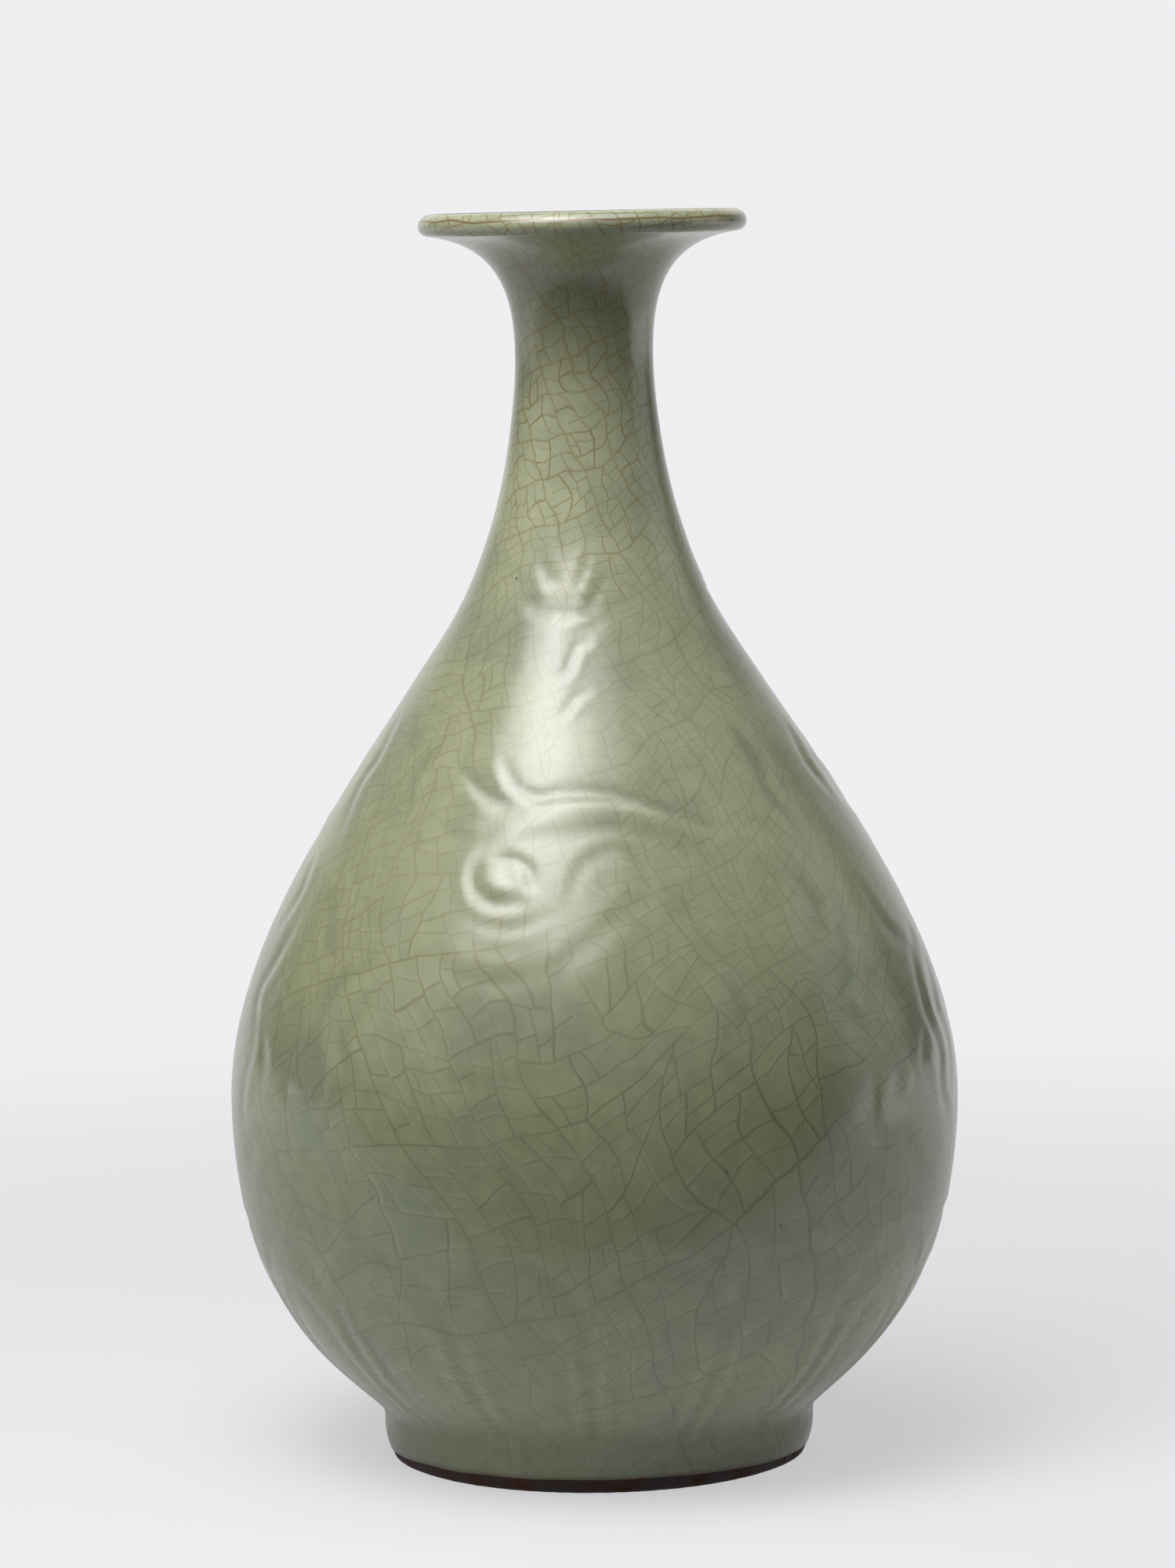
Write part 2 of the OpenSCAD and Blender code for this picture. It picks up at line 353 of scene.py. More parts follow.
foot_z = np.linspace(glaze_stop, foot_round_h, foot_rows)
foot_glaze = glaze_edge_t + (glaze_t - glaze_edge_t) * np.sin(np.linspace(0, math.pi / 2, foot_rows))
foot_stretch = np.column_stack([foot_wall(foot_z) + foot_glaze, foot_z])
stretches = [(foot_stretch, np.tile(upright, (foot_rows, 1)))]
for handles, rows in (
    (crease_curve, crease_rows), (lower_curve, lower_rows), (upper_curve, upper_rows),
    (neck_curve, neck_rows), (mouth_curve, mouth_rows),
):
    first = 0 if handles is crease_curve else 1
    stretches.append(along(handles, np.arange(first, rows + 1) / rows))
lip_shares = np.sin(np.linspace(0, math.pi / 2, lip_rows + 1)[1:])
lip_angle = lip_slope - math.pi / 2 + math.pi * lip_shares
lip_out = np.column_stack([np.cos(lip_angle), np.sin(lip_angle)])
lip_places = lip_centre + lip_round * lip_out
lip_places[:, 0] -= lip_lean * (lip_places[:, 1] - lip_knot[1])
stretches.append((lip_places, np.column_stack([-lip_out[:, 1], lip_out[:, 0]])))
skin = np.vstack([place for place, way in stretches])
skin_way = np.vstack([way for place, way in stretches])
skin_rows = len(skin)

back = inset(skin, skin_way, glaze_back)
back[:foot_rows] = np.column_stack([foot_wall(foot_z), foot_z])
body_start = foot_rows + crease_rows + 1
neck_start = body_start + lower_rows + upper_rows
mouth_start = neck_start + neck_rows
lip_start = mouth_start + mouth_rows
back_rows = np.unique(np.r_[
    0:foot_rows:4, foot_rows:body_start:2, body_start:neck_start:12,
    neck_start:mouth_start:6, mouth_start:lip_start:3, lip_start:skin_rows:5, skin_rows - 1
])
coat_outline = np.vstack([skin, back[back_rows][::-1], skin[:1]])
outer = turn("outer_glaze_coat", coat_outline, glaze_columns)


def rows_of(piece, outline):
    """The row of the outline that each vertex of a turned piece came from."""
    tree = kdtree.KDTree(len(outline))
    for row, (radius, height) in enumerate(outline):
        tree.insert((radius, height, 0), row)
    tree.balance()
    places = points_of(piece)
    radii = np.hypot(places[:, 0], places[:, 1])
    return np.array([tree.find((r, z, 0))[1] for r, z in zip(radii, places[:, 2])])


outer_row = rows_of(outer, coat_outline[:-1])
on_skin = outer_row < skin_rows
places = points_of(outer)
turns = np.arctan2(places[:, 0], -places[:, 1])

# Cuts of the scroll: depth, half width, and (turn in degrees, height) places along the knife's way.
# The middle of the first scroll faces the front. A depth below zero is a raised band. In millimetres.
leaf_cuts = [
    (0.75, 1.8, [(-31, 231.5), (-24, 228.5), (-17, 227), (-10, 227), (-5, 228)]),
    (0.3, 1.5, [(-8, 231), (-3, 235), (2, 240.5)]),
    (0.26, 1.8, [(-27, 240.5), (-20, 235.5), (-12, 231.5)]),
    (0.6, 1.7, [(-9, 225.5), (-3, 227.5), (3, 231), (9, 236)]),
    (0.2, 2.6, [(-8, 219), (2, 224), (12, 229), (22, 234)]),
    (0.28, 1.5, [(-1, 219.5), (-4.5, 218.5), (-6.5, 215.5), (-8, 212.5), (-12.5, 210.5)]),
    (0.24, 1.4, [(-1, 207.5), (-3.5, 206.5), (-6, 204.5), (-7.5, 202.5), (-10, 201.5)]),
    (0.38, 1.6, [(-9, 183), (-13, 182.5), (-17.5, 184.5), (-20.5, 187.5), (-22.5, 190)]),
    (0.4, 2.0, [(-20, 180.5), (-25, 182.5), (-30, 186), (-37, 191)]),
    (0.2, 2.6, [(-24, 172), (-31, 173.5), (-39, 178)]),
]
stem_cuts = [
    (-0.3, 3.6, [(-17, 173.5), (-9, 177), (0, 178.5), (9, 176.5)]),
    (0.46, 2.0, [(27, 174), (18, 178.5), (8, 182), (0, 183.3), (-7, 183), (-12, 181.5)]),
    (0.2, 2.8, [(-14, 172), (-4, 173.5), (6, 174), (16, 171.5), (27, 167), (38, 163)]),
]
flower_cuts = [
    (0.44, 1.5, [(-11.5, 161.5), (-12.4, 164.8), (-15, 167), (-19, 167.6)]),
    (-0.45, 2.6, [(-20.5, 162.3), (-18.5, 161), (-16.5, 160.2)]),
    (0.26, 1.8, [(-14, 157), (-18, 156.6), (-22, 159), (-24, 163.5), (-23.5, 167)]),
    (0.1, 2.0, [(-7, 155), (-12, 151.8), (-17, 151), (-22.5, 152.8)]),
    (0.18, 2.0, [(-4, 158), (-2, 165), (3, 169), (8, 168.5), (11, 164), (10.5, 157)]),
    (0.15, 2.6, [(-7, 133), (-5, 142), (2, 150), (9, 158)]),
    (0.15, 2.6, [(10, 128), (17, 137), (20, 148), (16, 158)]),
    (0.15, 2.6, [(-30, 145), (-23, 139), (-14, 138), (-8, 141)]),
    (0.12, 2.8, [(-36, 120), (-26, 113), (-14, 112), (-4, 118), (2, 128)]),
]
side_cuts = [
    (0.44, 2.4, [(45, 196), (48, 189), (46.5, 181), (51, 171)]),
    (0.44, 2.4, [(43, 161), (46, 154), (43.5, 146)]),
    (0.44, 2.4, [(51, 144), (48.5, 136), (45.5, 128), (48.5, 120)]),
    (0.44, 2.4, [(50, 115), (48, 106), (47.5, 97), (51, 90)]),
    (0.3, 2.6, [(53, 118), (55.5, 111), (53.5, 104)]),
    (0.3, 2.8, [(44, 79), (50, 86), (55, 92), (59, 85), (65, 77)]),
    (0.44, 2.4, [(-46, 193), (-49, 186), (-46.5, 179)]),
    (0.3, 2.6, [(-57, 154), (-54.5, 145), (-50, 140)]),
    (0.44, 2.4, [(-42, 140), (-48, 134), (-50.5, 122), (-48, 111), (-50, 101), (-45, 90)]),
    (0.3, 2.6, [(-40, 131), (-44, 121), (-41.5, 112), (-44.5, 103)]),
    (0.28, 2.4, [(-54, 116), (-56.5, 109), (-54, 102)]),
]
scroll_turns = (0, 120, -120)
petal_count = 15
petal_first = 10
petal_half = 11.5
petal_foot, petal_top, petal_bend = 15.5, 66, 3
petal_cuts = ((1, 0.36), (0.55, 0.3))
petal_cut_half = 2.0
way_steps = 14
cut_reach = 4
ridge_height, ridge_away, ridge_spread = 0.5, 1.9, 0.9
relief_limit = 0.8 * MM
full_relief = 0.35 * MM


def knife_way(cut):
    """A smooth line through a cut's places, as (turn, height) rows about a millimetre apart."""
    knots = np.array([2 * np.array(cut[0]) - cut[1], *cut, 2 * np.array(cut[-1]) - cut[-2]], float)
    line = []
    for a, b, c, d in zip(knots, knots[1:], knots[2:], knots[3:]):
        t = np.linspace(0, 1, way_steps, endpoint=False)[:, None]
        square = a - 2.5 * b + 2 * c - d / 2
        cube = 1.5 * (b - c) + (d - a) / 2
        line.append(b + t * (c - a) / 2 + t ** 2 * square + t ** 3 * cube)
    return np.vstack(line + [knots[-2:-1]])


def on_outline(turn, height):
    """Places on the plain outside of the vase, from turns in degrees and heights in millimetres."""
    radius = np.interp(height * MM, skin[:, 1], skin[:, 0])
    angle = np.radians(turn)
    return np.column_stack([radius * np.sin(angle), -radius * np.cos(angle), height * MM])


def carve(spots, depth, half_width, line):
    """How far a cut moves spots of the surface: a groove with a soft ridge pushed up beside it."""
    path = on_outline(line[:, 0], line[:, 1])
    ahead = np.gradient(path, axis=0)
    ahead /= np.linalg.norm(ahead, axis=1)[:, None]
    outward = path * (1, 1, 0)
    outward /= np.linalg.norm(outward, axis=1)[:, None]
    aside = np.cross(outward, ahead)
    taper = np.sin(np.linspace(0.12, 1, len(path)) * math.pi * 0.94) ** 0.6
    reach = cut_reach * half_width * MM
    near = ((spots > path.min(0) - reach) & (spots < path.max(0) + reach)).all(1).nonzero()[0]
    apart = np.linalg.norm(spots[near][:, None] - path[None], axis=2)
    nearest = apart.argmin(1)
    distance = apart.min(1) / (half_width * MM)
    side = np.einsum("ij,ij->i", spots[near] - path[nearest], aside[nearest]) / (half_width * MM)
    groove = -np.exp(-distance ** 2)
    ridge = ridge_height * np.exp(-((distance - ridge_away) / ridge_spread) ** 2) * np.clip(side, 0, 1)
    moved = np.zeros(len(spots))
    moved[near] = depth * MM * taper[nearest] * (groove + ridge)
    return moved


spots = on_outline(np.degrees(turns[on_skin]), places[on_skin, 2] / MM)
relief = np.zeros(len(spots))
for scroll in scroll_turns:
    for depth, half_width, cut in leaf_cuts + stem_cuts + flower_cuts + side_cuts:
        line = knife_way(cut) + (scroll, 0)
        relief += carve(spots, depth, half_width, line)
for petal in range(petal_count):
    middle = petal_first + 360 / petal_count * petal
    for share, depth in petal_cuts:
        half = petal_half * share
        left = middle - half
        top = petal_foot + (petal_top - petal_foot) * (0.4 + 0.6 * share)
        mid = (petal_foot + 2 * top) / 3
        arch = [(left, petal_foot), (left, mid), (middle - half / 2, top - petal_bend), (middle, top)]
        arch += [(2 * middle - at, height) for at, height in arch[-2::-1]]
        relief += carve(spots, depth, petal_cut_half, knife_way(arch))
relief = relief_limit * np.tanh(relief / relief_limit)

throwing_sway = 0.3 * MM
broad_sway, narrow_sway, sway_fade = 55 * MM, 22 * MM, 20 * MM
sway = np.array([
    noise.noise(Vector(p) / broad_sway) + 0.5 * noise.noise(Vector(p) / narrow_sway) for p in spots
])
fade = np.clip((places[on_skin, 2] - foot_seam) / sway_fade, 0, 1)
fade *= np.clip((cad_box[1].z - places[on_skin, 2]) / sway_fade, 0, 1)
push = relief + throwing_sway * sway * fade
way = skin_way[outer_row[on_skin]]
places[on_skin, 0] += push * way[:, 1] * np.sin(turns[on_skin])
places[on_skin, 1] -= push * way[:, 1] * np.cos(turns[on_skin])
places[on_skin, 2] -= push * way[:, 0]


tilt_from, tilt_over = 300 * MM, 24 * MM
sunk_middle, sunk_back, sunk_left = 0.4 * MM, 0.28 * MM, 0.28 * MM


def settle(places):
    """The mouth sank a little in the kiln, most at the left and at the back."""
    angle = np.arctan2(places[:, 0], -places[:, 1])
    share = np.clip((places[:, 2] - tilt_from) / tilt_over, 0, 1)
    sunk = sunk_middle - sunk_back * np.cos(angle) - sunk_left * np.sin(angle)
    places[:, 2] -= sunk * share * share * (3 - 2 * share)


settle(places)

# The wiped edge wanders: high at the front, low at the sides.
edge_low, edge_rise, edge_wave = 2.4 * MM, 1.6 * MM, 0.7 * MM
low = places[:, 2] < foot_round_h
edge_wander = np.array([noise.noise((3 * math.sin(a), 3 * math.cos(a), 4.0)) for a in turns[low]])
edge_z = edge_low + edge_rise * np.clip(np.cos(turns[low]), 0, 1) + edge_wave * edge_wander
share = np.clip((places[low, 2] - glaze_stop) / (foot_round_h - glaze_stop), 0, 1)
new_z = edge_z + share * (foot_round_h - edge_z)
coat = np.hypot(places[low, 0], places[low, 1]) - foot_wall(places[low, 2])
new_r = foot_wall(new_z) + coat
places[low] = np.column_stack([new_r * np.sin(turns[low]), -new_r * np.cos(turns[low]), new_z])
move_points(outer, places)
bpy.ops.object.shade_smooth_by_angle(angle=math.radians(45))


least_girth = 6 * MM


def climb_of(outline):
    """How far up the crackle each row of an outline lies, for cells of even shape at any girth."""
    girth = np.maximum(outline[:, 0], least_girth)
    step = np.linalg.norm(np.diff(outline, axis=0, prepend=outline[:1]), axis=1)
    return np.cumsum(step / girth)


def mark(piece, name, values):
    """Keeps one number for each vertex of a piece."""
    layer = piece.data.attributes.new(name, "FLOAT", "POINT")
    layer.data.foreach_set("value", np.asarray(values, np.float32))


skin_climb = climb_of(skin)
mark(outer, "climb", skin_climb[np.minimum(outer_row, skin_rows - 1)])
carving = np.zeros(len(places))
carving[on_skin] = relief / full_relief
mark(outer, "carving", carving)

grey_green = (0.286, 0.33, 0.168, 1)
leaf_green = (0.442, 0.47, 0.3, 1)
olive_green = (0.42, 0.43, 0.235, 1)
pale_green = (0.5, 0.515, 0.35, 1)
neck_green = (0.61, 0.65, 0.41, 1)
pooled_green = (0.16, 0.205, 0.125, 1)
smoke_green = (0.255, 0.3, 0.215, 1)
grey_stain = (0.085, 0.08, 0.042, 1)
ochre_stain = (0.22, 0.17, 0.065, 1)
orange_stain = (0.3, 0.19, 0.042, 1)
lip_stain = (0.2, 0.105, 0.03, 1)
thin_brown = (0.15, 0.095, 0.045, 1)
iron_speck = (0.045, 0.03, 0.018, 1)
lattice_around, lattice_down = 12, 5
crackle_levels = 7
split_spread, split_lean, split_bow = 0.55, 0.75, 1.4
speck_apart = 20

glaze, glaze_shader, place = finish("celadon_glaze")
climb = place.add("Attribute", {"attribute_name": "climb"}, {}, "Fac")
turned = place.math("ARCTAN2", place.part("X"), 0 - place.part("Y"))
radius = place.vector("MULTIPLY", (1, 1, 0)).vector("LENGTH", (0, 0, 0), "Value")
blocks_per_turn = math.hypot(lattice_around, lattice_down) / math.tau
block = radius / (blocks_per_turn * MM)
patchy = place.cloud(38 * MM, 2).ramp(0.32, 0.62)
height = place.part("Z") / MM

# Great blocks of crackle, on a slanted net that closes round the vase. All sizes in millimetres.
ring = place.vector("MULTIPLY", (1, 1, 0)).vector("NORMALIZE", (0, 0, 0)).scaled(blocks_per_turn)
laid = ring.vector("ADD", place.add("CombineXYZ", {}, {2: blocks_per_turn * climb}))
mean_cloud = (0.5, 0.5, 0.5)
bend = (0.0, 0.0, 0.0)
for size, detail, reach in ((2.0, 0, 0.9), (0.75, 0, 0.3), (0.28, 1, 0.09)):
    shift = laid.cloud(size, detail, "Color").vector("SUBTRACT", mean_cloud)
    bend = shift.scaled(reach).vector("ADD", bend)
rising = (lattice_around / math.tau) * turned + (lattice_down / math.tau) * climb + bend.part("X")
falling = (lattice_around / math.tau) * climb - (lattice_down / math.tau) * turned + bend.part("Y")
row, column = rising.floor(), falling.floor()
round_trips = (row / lattice_around).floor()
row_name = row - lattice_around * round_trips
column_name = column + lattice_down * round_trips
in_block = [rising - row - 0.5, falling - column - 0.5]
cell_middle = [0.0, 0.0]
cell_half = [0.5, 0.5]


def crack_line(gap, width):
    """1 on a crack and 0 off it."""
    return 1 - gap.math("ABSOLUTE", gap).ramp(0.15 * width, width)


edge_gap = (0.5 - place.math("ABSOLUTE", in_block[0])).smaller(0.5 - place.math("ABSOLUTE", in_block[1]))
line_width = 0.36 + 0.1 * radius.ramp(20 * MM, 70 * MM)
crack = crack_line(edge_gap * block, line_width) * (0.35 + 0.4 * patchy)
stain = 1 - (edge_gap * block).ramp(0.3, 1.6)
painted_crack_sheen = 0.0
smallest = 7.0 - 2.8 * height.ramp(95, 195)
cell_name = 1.0

# Each block splits crosswise again and again, until its cells are as small as the glaze breaks.
for level in range(crackle_levels):
    name = place.add("CombineXYZ", {}, {0: row_name, 1: column_name, 2: cell_name})
    lot = place.add("TexWhiteNoise", {"noise_dimensions": "3D"}, {"Vector": name}, "Color")
    first, second, third = lot.part("X"), lot.part("Y"), lot.part("Z")
    way, cross = level % 2, 1 - level % 2
    place_in = split_spread * (first - 0.5) * cell_half[way]
    across = in_block[cross] - cell_middle[cross]
    lean = split_lean * (second - 0.5) * across + split_bow * (third - 0.5) * across * across
    apart = in_block[way] - cell_middle[way] - place_in - lean
    gap = apart * block
    splits = (2 * cell_half[way] * block / smallest - 0.5 * third).ramp(1, 1.25)
    darkness = splits * (0.5 + 0.5 * second) * (0.86 - 0.025 * level)
    crack = (crack_line(gap, line_width) * darkness).larger(crack)
    above = place.math("GREATER_THAN", apart, 0.0)
    # Painted sheen: a pale band on one side of each new crack, standing in for light reflected off the
    # slanted crack plane inside the glaze.
    painted_sheen_step = splits * above * (1 - gap.ramp(0.2, 1.8)) * (first - 0.3)
    painted_crack_sheen = painted_sheen_step + painted_crack_sheen
    toward = 2 * above - 1
    cell_middle[way] = (place_in + toward * cell_half[way]) / 2 + cell_middle[way]
    cell_half[way] = (cell_half[way] - toward * place_in) / 2
    cell_name = 2 * cell_name + above

# One long crack runs round the face of the lip.
lip_crack_row = lip_start + 7
lip_wander = 0.05 * (place.cloud(15 * MM, 2) - 0.5)
lip_gap = (climb - float(skin_climb[lip_crack_row]) - lip_wander) * (lip_r / MM)
crack = (0.9 * crack_line(lip_gap, 0.5)).larger(crack)

# Colours of the glaze, from its body to its stains and specks. Heights in millimetres.
carving = place.add("Attribute", {"attribute_name": "carving"}, {}, "Fac")
warm = height.ramp(215, 275)
wash = place.cloud(70 * MM, 3).ramp(0.3, 0.7)
glaze_colour = (0.75 * height.ramp(60, 200) + 0.25 * wash).blend(grey_green, leaf_green)
at_neck = height.ramp(216, 262) * (1 - height.ramp(274, 302))
glaze_colour = (0.85 * at_neck).blend(glaze_colour, neck_green)
sunny = (0 - place.part("X") / MM).ramp(-15, 70) * height.ramp(85, 150) * (1 - 0.6 * warm)
glaze_colour = (0.4 * sunny).blend(glaze_colour, olive_green)
smoky = place.vector("ADD", (0.4, 0.1, 0.2)).cloud(34 * MM, 3).ramp(0.42, 0.7)
glaze_colour = (0.5 * smoky).blend(glaze_colour, smoke_green)
marbled = place.cloud(6 * MM, 5).ramp(0.36, 0.66).blend(pooled_green, pale_green)
glaze_colour = place.add("Mix", {"data_type": "RGBA"}, {0: 0.1, 6: glaze_colour, 7: marbled}, 2)
glaze_colour = (0.3 * carving.ramp(0, 0.8)).blend(glaze_colour, pale_green)
pools = 0.52 - 0.4 * height.ramp(18, 42) + 0.16 * height.ramp(110, 150)
glaze_colour = (pools * (0 - carving).ramp(0, 1)).blend(glaze_colour, pooled_green)
# Painted sheen beside the cracks, blended towards pale green.
glaze_colour = (0.36 * painted_crack_sheen.larger(0.0)).blend(glaze_colour, pale_green)
soaked = 0.62 + 0.38 * (place.part("X") / MM + 60 * (patchy - 0.5)).ramp(-70, 30).larger(warm)
stain_colour = (0.4 * wash + 0.6 * height.ramp(110, 180) + 0.5 * sunny).blend(grey_stain, ochre_stain)
stain_colour = warm.blend(stain_colour, orange_stain)
at_lip = height.ramp(320, 325)
stain_colour = at_lip.blend(stain_colour, lip_stain)
glaze_colour = (stain * (0.03 + 0.05 * warm)).blend(glaze_colour, stain_colour)
by_height = 0.24 * height.ramp(12, 26) - 0.24 * height.ramp(100, 170)
crack_strength = 0.36 + by_height + 0.5 * warm + 0.3 * sunny
glaze_colour = (crack * soaked * crack_strength).blend(glaze_colour, stain_colour)
glaze_colour = (0.8 * (1 - climb.ramp(0.0, 0.03))).blend(glaze_colour, thin_brown)
speck_net = {"Vector": place, "Scale": 1 / (speck_apart * MM)}
speck_gap = place.add("TexVoronoi", {}, speck_net, "Distance") * speck_apart
glaze_colour = (1 - speck_gap.ramp(0.22, 0.42)).blend(glaze_colour, iron_speck)
last_name = place.add("CombineXYZ", {}, {0: row_name, 1: column_name, 2: cell_name})
cell_tone = place.add("TexWhiteNoise", {"noise_dimensions": "3D"}, {"Vector": last_name}, "Value")
mottle = 0.85 + 0.1 * place.cloud(0.9 * MM, 3) + 0.14 * place.cloud(11 * MM, 3) + 0.06 * cell_tone
glaze_colour.scaled(mottle).into(glaze_shader, "Base Color")
(0.19 + 0.05 * place.cloud(5 * MM, 2)).into(glaze_shader, "Roughness")
surface = 0.5 * place.cloud(6 * MM, 1) + 0.12 * place.cloud(0.8 * MM, 2)
glaze_bump = place.add("Bump", {}, {"Height": surface, "Distance": 0.06 * MM, "Strength": 0.8})
glaze_bump.into(glaze_shader, "Normal")
glaze_shader.inputs["IOR"].default_value = 1.68
outer.data.materials.append(glaze)

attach(outer, "root")
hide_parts("outer_glaze")


# Inner glaze: the same celadon, swilled round inside and poured out, over floor, wall and mouth.
# It meets the outer coat on the top of the lip, where the crackle runs on.
wall_base, wall_belly, wall_shoulder, wall_neck = 8 * MM, 5 * MM, 4.5 * MM, 3 * MM
wall_lip = 2 * lip_round - 2 * glaze_t
floor_z = foot_seam + 0.5 * MM + 9 * MM
floor_flat = 0.7
wall_begins = 1 / 3
inner_columns = 240

walls = []
for handles, rows, low_share, wall_low, wall_high in (
    (lower_curve, 24, wall_begins, wall_base, wall_belly),
    (upper_curve, 36, 0, wall_belly, wall_shoulder),
    (neck_curve, 22, 0, wall_shoulder, wall_neck),
    (mouth_curve, 26, 0, wall_neck, wall_lip),
):
    shares = np.linspace(low_share, 1, rows + 1)
    if handles is mouth_curve:
        shares = np.sin(shares * math.pi / 2)
    place, way = along(handles, shares)
    wall = wall_low + (wall_high - wall_low) * shares
    walls.append((inset(place, way, glaze_t + wall), inset(place, way, 2 * glaze_t + wall), way))
lining = np.vstack([row[0][1:] for row in walls])
cavity = np.vstack([row[1][1:] for row in walls])
lining_start, lining_way = walls[0][0][0], walls[0][2][0]
floor_curve = (
    np.array([0, floor_z]), np.array([floor_flat * lining_start[0], floor_z]),
    lining_start - (lining_start[1] - floor_z) / lining_way[1] * lining_way, lining_start,
)
floor_place, floor_way = along(floor_curve, np.linspace(0, 1, 13))
floor_face = inset(floor_place, floor_way, glaze_t)
floor_face[0, 0] = 0
inside = np.vstack([floor_face, cavity])
behind = np.vstack([floor_place, lining])[::-4]
inner_outline = np.vstack([inside, behind, floor_place[:1]])
inner = turn("inner_glaze_coat", inner_outline, inner_columns)
bpy.ops.object.shade_smooth_by_angle(angle=math.radians(45))
inner_row = np.minimum(rows_of(inner, inner_outline), len(inside) - 1)
places = points_of(inner)
settle(places)
move_points(inner, places)
inner_climb = climb_of(inside)
mark(inner, "climb", (skin_climb[-1] + inner_climb[-1] - inner_climb)[inner_row])
inner.data.materials.append(glaze)

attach(inner, "root")
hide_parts("inner_glaze")


# Base glaze: celadon brushed under the base and down the inside of the foot to its wiped edge.
# It pools in the corner of the recess and leaves the standing ring bare.
recess_z = foot_top
recess_r = foot_inner_r - glaze_t
recess_corner = 2.2 * MM
base_top = foot_seam + 0.5 * MM
base_columns = 200

stop_r = contact_inner_r - (contact_inner_r - foot_inner_r) * glaze_stop / foot_top
corner = np.linspace(0, math.pi / 2, 9)[:, None]
corner_rows = np.array([recess_r - recess_corner, recess_z - recess_corner]) + recess_corner * np.hstack(
    [np.sin(corner), np.cos(corner)]
)
flat_rows = np.column_stack([np.linspace(0, recess_r - recess_corner, 24), np.full(24, recess_z)])
side_rows = np.linspace(corner_rows[-1], (stop_r - glaze_edge_t, glaze_stop), 7)
under = np.vstack([flat_rows, corner_rows[1:], side_rows[1:]])
over = np.array([(stop_r, glaze_stop), (foot_inner_r, foot_top), (foot_inner_r, base_top), (0, base_top)])
base_outline = np.vstack([under, over, under[:1]])
base = turn("base_glaze_coat", base_outline, base_columns)
base_row = np.minimum(rows_of(base, base_outline[:-1]), len(under) - 1)
mark(base, "climb", 1 + climb_of(under)[base_row])
bpy.ops.object.shade_smooth_by_angle(angle=math.radians(45))
base.data.materials.append(glaze)

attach(base, "root")
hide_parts("base_glaze")


# Table: one sheet of smooth pale paper, which carries the shadow and fades out far away.
# Reflections and bounced light see it darker in front of the vase than behind it, a painted shade that
# stands in for the dark side of the studio by the camera.
table_r = 9
paper = (0.86, 0.86, 0.885, 1)
paper_white = (0.93, 0.93, 0.95, 1)
paper_bounce = (0.68, 0.68, 0.69, 1)
shade = (0.16, 0.16, 0.16, 1)
bpy.ops.object.select_all(action="DESELECT")
bpy.ops.mesh.primitive_circle_add(vertices=96, radius=table_r, fill_type="NGON")
table = bpy.context.object
table.name = "paper_table"
paper_finish, paper_shader, place = finish("table_paper")
to_camera = place.add("LightPath", {}, {}, "Is Camera Ray")
mirrored = place.add("LightPath", {}, {}, "Is Glossy Ray")
paper_front = place.part("Y").ramp(-0.27, -0.11)
far = place.vector("LENGTH", (0, 0, 0), "Value").ramp(0.2, 0.8)
paper_shader.inputs["Roughness"].default_value = 0.9
paper_shader.inputs["Specular IOR Level"].default_value = 0.0
# Painted shade: for reflections and bounced light the paper turns dark in front of the vase and dimmer
# behind it.
to_camera.blend(paper_front.blend(shade, paper_bounce), paper_white).into(paper_shader, "Base Color")
glow = place.add("Emission", {}, {"Color": paper, "Strength": 1.0})
lit = Wire(place.tree, paper_shader.outputs[0])
seen = (mirrored * paper_front * (0.42 + 0.58 * far)).larger(to_camera * (0.62 + 0.38 * far))
sheet = place.add("MixShader", {}, {0: seen, 1: lit, 2: glow})
sheet.into(place.tree.nodes["Material Output"], "Surface")
table.data.materials.append(paper_finish)


# Studio: a soft lamp above the camera's left with a wide screen round it, a dim fill at the left,
# a white board at the right, and the pale backdrop behind. The side of the camera is dark.
lamp_aim = Vector((0, 0, 0.17))
white_watts = 4


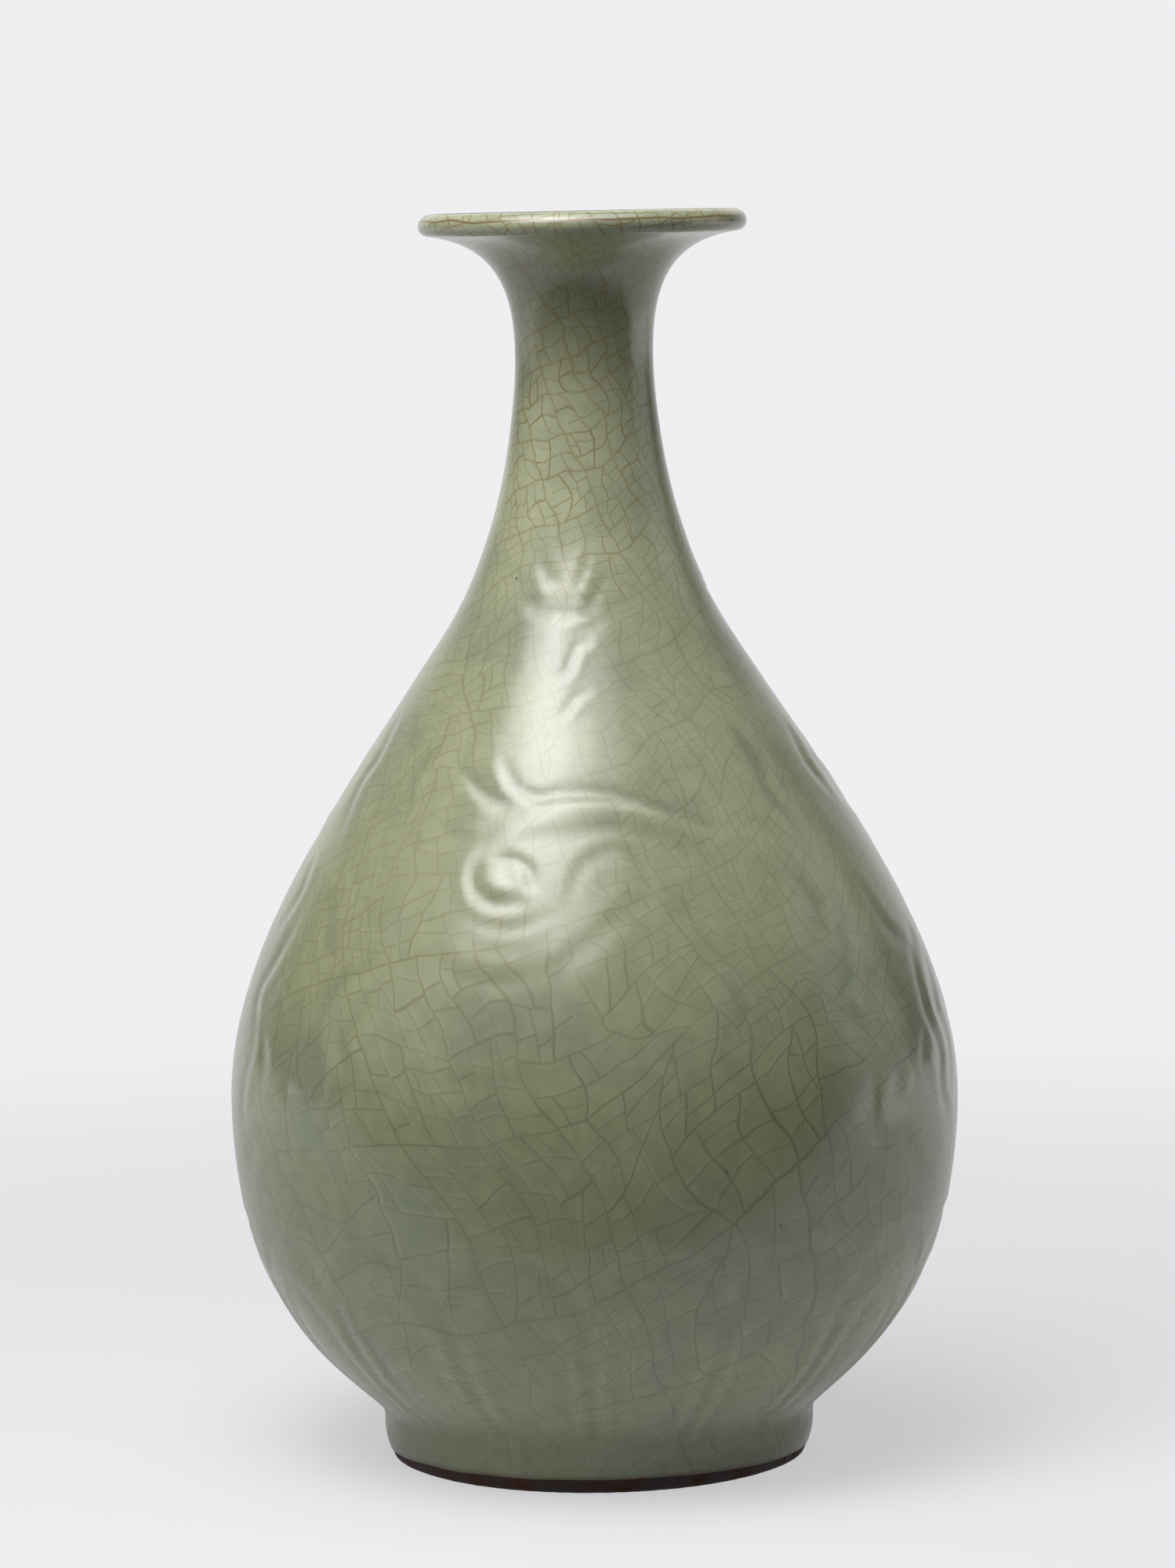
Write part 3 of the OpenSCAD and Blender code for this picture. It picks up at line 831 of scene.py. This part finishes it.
def softbox(name, turn, rise, away, width, height, glow, tint=(1, 1, 1)):
    """A soft lamp that looks at the vase, turned to the right of the camera; glow is its brightness."""
    turn, rise = math.radians(turn), math.radians(rise)
    back = Vector((math.sin(turn) * math.cos(rise), -math.cos(turn) * math.cos(rise), math.sin(rise)))
    bpy.ops.object.light_add(type="AREA", location=lamp_aim + away * back)
    lamp = bpy.context.object
    lamp.name = name
    lamp.data.shape = "RECTANGLE"
    lamp.data.size = width
    lamp.data.size_y = height
    lamp.data.energy = glow * white_watts * width * height
    lamp.data.color = tint
    lamp.rotation_euler = back.to_track_quat("Z", "Y").to_euler()
    lamp.visible_camera = False


bulb_tint = (1.0, 0.975, 1.0)
softbox("key_lamp", -34, 60, 1.0, 0.32, 0.46, 2.55, bulb_tint)
softbox("key_skirt", -34, 61, 0.98, 0.62, 0.68, 2.3, bulb_tint)
softbox("key_screen", -28, 70, 1.0, 0.9, 1.3, 1.6)
softbox("left_fill", -65, 28, 1.5, 1.0, 1.0, 0.25)
softbox("right_board", 102, 3, 1.3, 0.85, 1.3, 0.42)

dark_room = (0.0, 0.0, 0.0, 1)
backdrop_bounce = (0.27, 0.27, 0.275, 1)
world = bpy.data.worlds.new("studio")
bpy.context.scene.world = world
world.use_nodes = True
room = Wire(world.node_tree)
ray = room.add("LightPath", {}, {}, "Is Camera Ray")
mirrored = room.add("LightPath", {}, {}, "Is Glossy Ray")
facing = room.add("TexCoord", {}, {}, "Generated")
behind_vase = facing.part("Y").ramp(0.55, 0.95)
at_right = facing.part("X").ramp(0.2, 0.9)
backdrop = mirrored.blend(backdrop_bounce, paper)
backdrop = (behind_vase * (1 - 0.35 * at_right)).blend(dark_room, backdrop)
ray.blend(backdrop, paper).into(world.node_tree.nodes["Background"], "Color")


# Camera: a little above the mouth, with a long lens, looking slightly down.
# It is turned by the vase's slight lean.
camera_aside = -0.0007
camera_away = 1.562
camera_height = 0.349
camera_pitch = math.radians(6.22)
camera_roll = math.radians(-0.82)
camera_lens = 136.4
bpy.ops.object.camera_add(location=(camera_aside, -camera_away, camera_height))
camera = bpy.context.object
camera.rotation_euler = (math.pi / 2 - camera_pitch, 0, 0)
camera.rotation_euler.rotate_axis("Z", camera_roll)
camera.data.lens = camera_lens
camera.data.clip_end = 100
bpy.context.scene.camera = camera
bpy.context.scene.view_settings.view_transform = "Standard"
